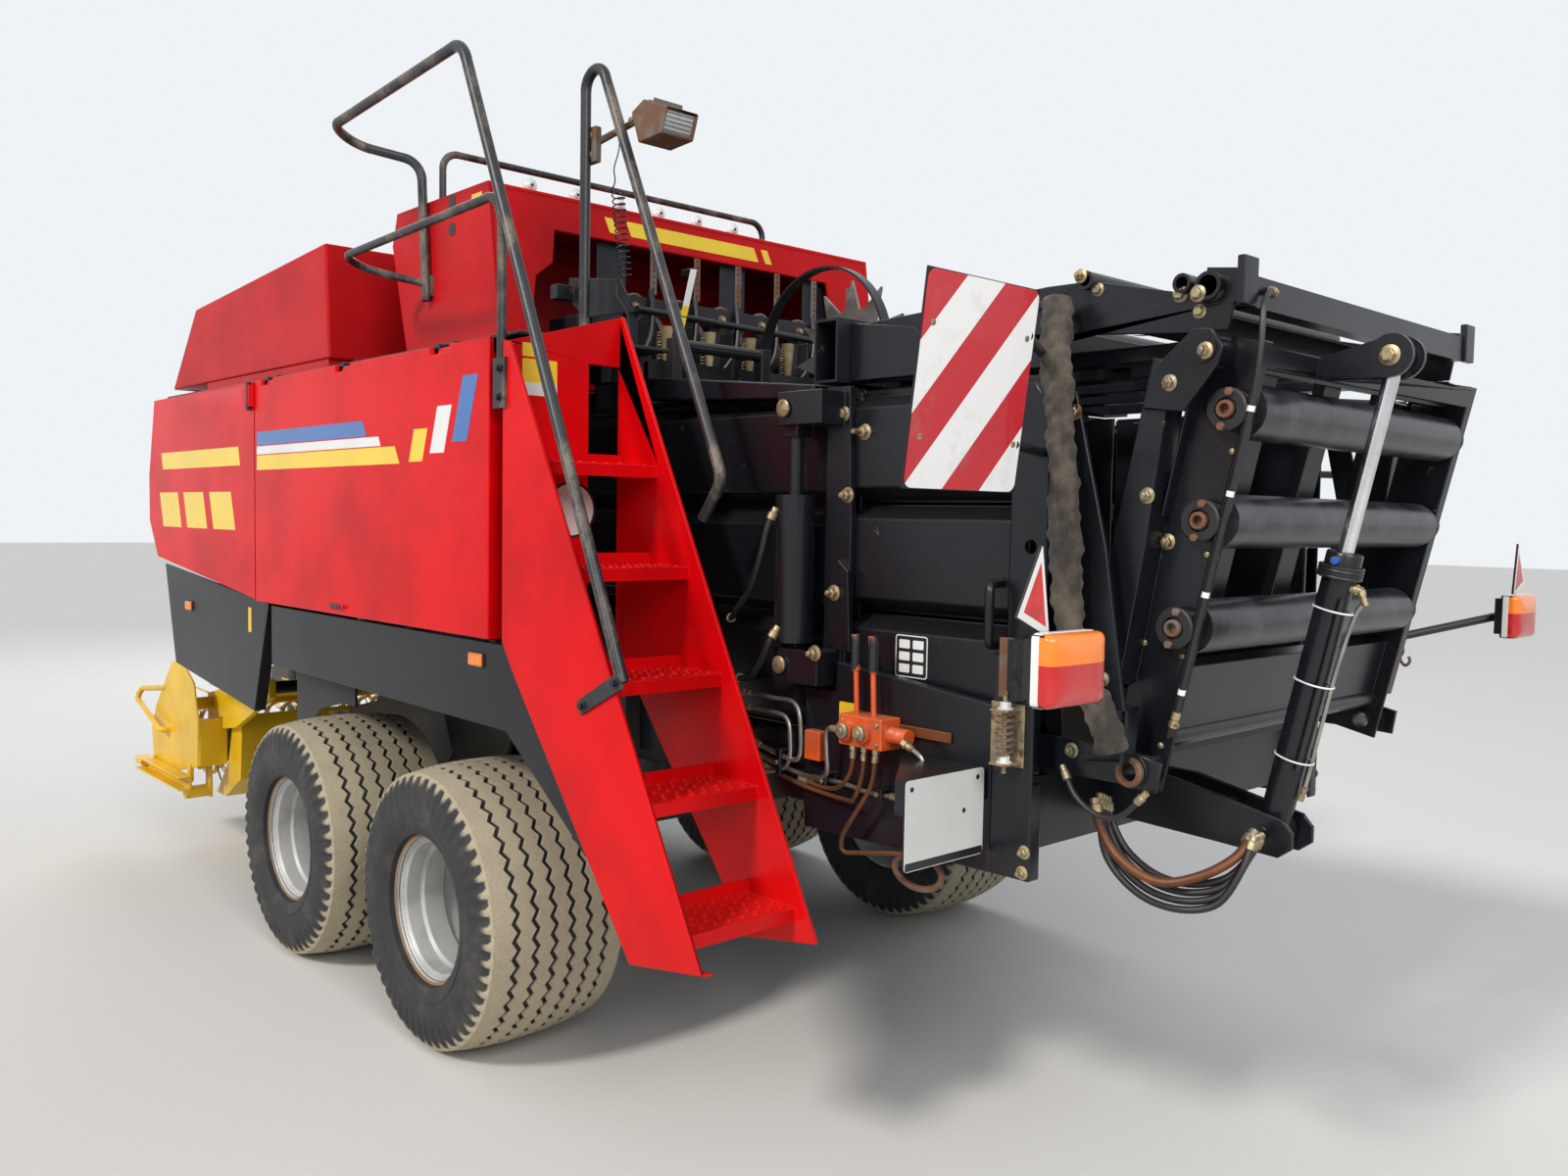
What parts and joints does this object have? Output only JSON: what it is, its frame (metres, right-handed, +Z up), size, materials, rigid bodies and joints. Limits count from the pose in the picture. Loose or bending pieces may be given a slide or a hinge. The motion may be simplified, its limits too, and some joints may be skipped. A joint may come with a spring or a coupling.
{
  "type": "square baler",
  "caption": "Towed square baler for large bales: tandem wheels, side doors, arched knotter hood, ladder with handrails, pickup and a folded roller chute.",
  "frame": {"origin": "on the ground under the middle of the machine's length and width", "axes": "+X in the direction of travel, +Y to the left, +Z up"},
  "size_m": [7.3076, 2.6, 3.0782],
  "materials": {
    "black_paint": "worn black paint",
    "red_paint": "glossy red paint",
    "yellow_paint": "yellow paint",
    "guard_plastic": "plastic guard",
    "steel": "worn steel",
    "chrome": "chromed rod",
    "orange_paint": "orange paint",
    "lamp_plastic": "lens plastic",
    "board": "reflective sheet",
    "tyre": "dusty rubber",
    "rim_paint": "silver paint"
  },
  "bodies": {
    "chassis": {"frame": "black_paint", "rockers": "black_paint", "chamber_walls": "black_paint", "chamber_floor": "black_paint", "chamber_roof": "black_paint", "tension_doors": "black_paint", "tension_cylinders": "black_paint", "top_frame": "black_paint", "rear_stays": "black_paint", "drive_block": "black_paint", "flywheel": "black_paint", "plunger": "steel", "drawbar": "black_paint", "tow_eye": "steel", "jack_body": "black_paint", "pto_shaft": "guard_plastic", "feeder": "black_paint", "needle_yoke": "black_paint", "outriggers": "black_paint", "skirts": "black_paint", "twine_racks": "black_paint", "deck": "black_paint", "nose": "red_paint", "front_hood": "red_paint", "arch_hood": "red_paint", "knotters": "black_paint", "star_hoop": "black_paint", "ladder": "red_paint", "handrails": "black_paint", "guard_rail": "black_paint", "work_lamp": "lamp_plastic", "warning_boards": "board", "rear_lamps": "lamp_plastic", "valve_block": "orange_paint", "number_plate": "board"},
    "jack": {"jack_leg": "steel"},
    "pickup": {"pickup_frame": "yellow_paint", "pickup_shields": "yellow_paint"},
    "reel": {"pickup_reel": "steel"},
    "main_door_left": {"door_main_left": "red_paint"},
    "main_door_right": {"door_main_right": "red_paint"},
    "front_door_left": {"door_front_left": "red_paint"},
    "front_door_right": {"door_front_right": "red_paint"},
    "star": {"star_wheel": "steel"},
    "chute": {"chute_frame": "black_paint"},
    "low_roller": {"roller_low": "steel"},
    "mid_roller": {"roller_mid": "steel"},
    "top_roller": {"roller_top": "steel"},
    "barrel": {"chute_barrel": "black_paint"},
    "rod": {"chute_rod": "chrome"},
    "wheel_front_left": {"tyre_front_left": "tyre", "rim_front_left": "rim_paint"},
    "wheel_front_right": {"tyre_front_right": "tyre", "rim_front_right": "rim_paint"},
    "wheel_rear_left": {"tyre_rear_left": "tyre", "rim_rear_left": "rim_paint"},
    "wheel_rear_right": {"tyre_rear_right": "tyre", "rim_rear_right": "rim_paint"}
  },
  "joints": [
    {"name": "jack_slide", "type": "slide", "parent": "chassis", "child": "jack", "axis": [0, 0, 1], "range_m": [0, 0.3]},
    {"name": "pickup_lift", "type": "hinge", "parent": "chassis", "child": "pickup", "pos_m": [0.92376, 0, 0.9], "axis": [0, 1, 0], "range_deg": [0, 12]},
    {"name": "pickup_reel_turn", "type": "hinge", "parent": "pickup", "child": "reel", "pos_m": [1.96376, 0, 0.5], "axis": [0, 1, 0], "continuous": true},
    {"name": "main_door_left_hinge", "type": "hinge", "parent": "chassis", "child": "main_door_left", "pos_m": [-0.55624, 1.25, 2.185], "axis": [1, 0, 0], "range_deg": [0, 90]},
    {"name": "main_door_right_hinge", "type": "hinge", "parent": "chassis", "child": "main_door_right", "pos_m": [-0.55624, -1.25, 2.185], "axis": [-1, 0, 0], "range_deg": [0, 90]},
    {"name": "front_door_left_hinge", "type": "hinge", "parent": "chassis", "child": "front_door_left", "pos_m": [1.70576, 1.242, 1.7], "axis": [0, 0, -1], "range_deg": [0, 80]},
    {"name": "front_door_right_hinge", "type": "hinge", "parent": "chassis", "child": "front_door_right", "pos_m": [1.70576, -1.242, 1.7], "axis": [0, 0, 1], "range_deg": [0, 80]},
    {"name": "star_turn", "type": "hinge", "parent": "chassis", "child": "star", "pos_m": [-1.68624, 0, 2.235], "axis": [0, 1, 0], "continuous": true},
    {"name": "chute_fold", "type": "hinge", "parent": "chassis", "child": "chute", "pos_m": [-3.21124, 0, 1.15], "axis": [0, -1, 0], "range_deg": [0, 77]},
    {"name": "low_roller_turn", "type": "hinge", "parent": "chute", "child": "low_roller", "pos_m": [-3.28266, 0, 1.47218], "axis": [0, 1, 0], "continuous": true},
    {"name": "mid_roller_turn", "type": "hinge", "parent": "chute", "child": "mid_roller", "pos_m": [-3.33461, 0, 1.70649], "axis": [0, 1, 0], "continuous": true},
    {"name": "top_roller_turn", "type": "hinge", "parent": "chute", "child": "top_roller", "pos_m": [-3.38655, 0, 1.9408], "axis": [0, 1, 0], "continuous": true},
    {"name": "chute_barrel_swing", "type": "hinge", "parent": "chassis", "child": "barrel", "pos_m": [-3.37624, 0.3, 1], "axis": [0, -1, 0], "range_deg": [0, 80.91]},
    {"name": "chute_rod_slide", "type": "slide", "parent": "barrel", "child": "rod", "axis": [0.2132, 0, -0.977], "range_m": [0, 0.2775]},
    {"name": "wheel_front_left_turn", "type": "hinge", "parent": "chassis", "child": "wheel_front_left", "pos_m": [0.00376, 1.05, 0.45], "axis": [0, 1, 0], "continuous": true},
    {"name": "wheel_front_right_turn", "type": "hinge", "parent": "chassis", "child": "wheel_front_right", "pos_m": [0.00376, -1.05, 0.45], "axis": [0, 1, 0], "continuous": true},
    {"name": "wheel_rear_left_turn", "type": "hinge", "parent": "chassis", "child": "wheel_rear_left", "pos_m": [-1.11624, 1.05, 0.45], "axis": [0, 1, 0], "continuous": true},
    {"name": "wheel_rear_right_turn", "type": "hinge", "parent": "chassis", "child": "wheel_rear_right", "pos_m": [-1.11624, -1.05, 0.45], "axis": [0, 1, 0], "continuous": true}
  ],
  "couplings": [
    {"joint": "chute_barrel_swing", "follows": "chute_fold", "ratio": 1.0378},
    {"joint": "chute_rod_slide", "follows": "chute_fold", "m_per_rad": 0.20352}
  ]
}
